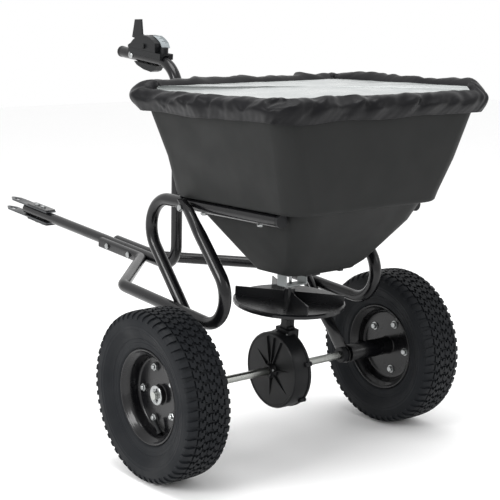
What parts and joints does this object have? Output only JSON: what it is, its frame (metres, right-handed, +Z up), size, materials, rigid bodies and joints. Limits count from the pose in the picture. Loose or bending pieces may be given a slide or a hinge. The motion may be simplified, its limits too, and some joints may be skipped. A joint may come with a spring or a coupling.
{
  "type": "garden spreader",
  "caption": "Tow-behind broadcast spreader: covered hopper on a bent tube frame, ground-driven impeller, pneumatic wheels, drawbar hitch and flow lever",
  "frame": {"origin": "on the ground, under the middle of the whole spreader's box", "axes": "-X is the towing direction, +Y is the right wheel, +Z is up"},
  "size_m": [1.482, 0.698, 0.8615],
  "materials": {
    "black_paint": "gloss black powder coat",
    "zinc": "bright zinc plate",
    "hopper_plastic": "fine-grained charcoal moulding",
    "black_plastic": "satin black moulding",
    "tyre_rubber": "matte tyre rubber",
    "cover_cloth": "black coated nylon with a translucent white window",
    "scale_grey": "light grey plate"
  },
  "bodies": {
    "frame": {"axle_bush_left": "black_plastic", "axle_bush_right": "black_plastic", "cable_bracket": "black_plastic", "drawbar": "black_paint", "drawbar_bolt_front": "zinc", "drawbar_bolt_rear": "zinc", "frame_bolt_left": "zinc", "frame_bolt_right": "zinc", "gearbox_left": "black_plastic", "gearbox_right": "black_plastic", "handle_post": "black_paint", "hitch_bolt_front": "zinc", "hitch_bolt_rear": "zinc", "hitch_clamp_lower": "black_paint", "hitch_clamp_upper": "black_paint", "hitch_strap_lower": "zinc", "hitch_strap_upper": "zinc", "hopper": "hopper_plastic", "hopper_bolt_front_left": "zinc", "hopper_bolt_front_right": "zinc", "hopper_bolt_rear_left": "zinc", "hopper_bolt_rear_right": "zinc", "lever_pivot": "black_plastic", "outlet_frame": "black_plastic", "post_cap": "black_plastic", "quadrant_base": "black_plastic", "quadrant_bolt": "zinc", "quadrant_left": "black_plastic", "quadrant_right": "black_plastic", "rate_scale": "scale_grey", "side_tube_left": "black_paint", "side_tube_right": "black_paint", "support_tube_left": "black_paint", "support_tube_right": "black_paint", "tube_cap_left": "black_plastic", "tube_cap_right": "black_plastic"},
    "drive_wheel": {"axle": "zinc", "cotter_left": "zinc", "cotter_right": "zinc", "drive_gear": "black_plastic", "drive_pin": "zinc", "tyre_left": "tyre_rubber", "rim_outer_left": "black_paint", "rim_inner_left": "black_paint", "hub_left": "black_paint", "wheel_washer_left": "zinc", "wheel_washer_right": "zinc"},
    "free_wheel": {"tyre_right": "tyre_rubber", "rim_outer_right": "black_paint", "rim_inner_right": "black_paint", "hub_right": "black_paint"},
    "impeller": {"impeller": "black_plastic", "impeller_shaft": "zinc", "pinion": "black_plastic", "agitator": "zinc"},
    "shutter": {"shutter": "black_plastic"},
    "flow_lever": {"flow_lever": "black_plastic"},
    "rate_stop": {"rate_stop": "black_plastic"},
    "hopper_cover": {"hopper_cover": "cover_cloth"}
  },
  "joints": [
    {"name": "axle_spin", "type": "hinge", "parent": "frame", "child": "drive_wheel", "pos_m": [0.437, 0, 0.165], "axis": [0, 1, 0], "continuous": true},
    {"name": "right_wheel_spin", "type": "hinge", "parent": "frame", "child": "free_wheel", "pos_m": [0.437, 0, 0.165], "axis": [0, 1, 0], "continuous": true},
    {"name": "impeller_spin", "type": "hinge", "parent": "frame", "child": "impeller", "pos_m": [0.437, 0.004, 0.165], "axis": [0.0872, 0, 0.9962], "continuous": true},
    {"name": "flow_lever_swing", "type": "hinge", "parent": "frame", "child": "flow_lever", "pos_m": [-0.03206, 0, 0.80259], "axis": [0, 1, 0], "range_deg": [0, 75]},
    {"name": "shutter_slide", "type": "slide", "parent": "frame", "child": "shutter", "axis": [1, 0, 0], "range_m": [0, 0.04]},
    {"name": "rate_stop_slide", "type": "slide", "parent": "frame", "child": "rate_stop", "axis": [0.9943, 0, -0.1063], "range_m": [0, 0.03]},
    {"name": "cover_lift", "type": "slide", "parent": "frame", "child": "hopper_cover", "axis": [0, 0, 1], "range_m": [0, 0.12]}
  ],
  "couplings": [
    {"joint": "impeller_spin", "follows": "axle_spin", "ratio": 4},
    {"joint": "shutter_slide", "follows": "flow_lever_swing", "m_per_rad": 0.030558}
  ]
}
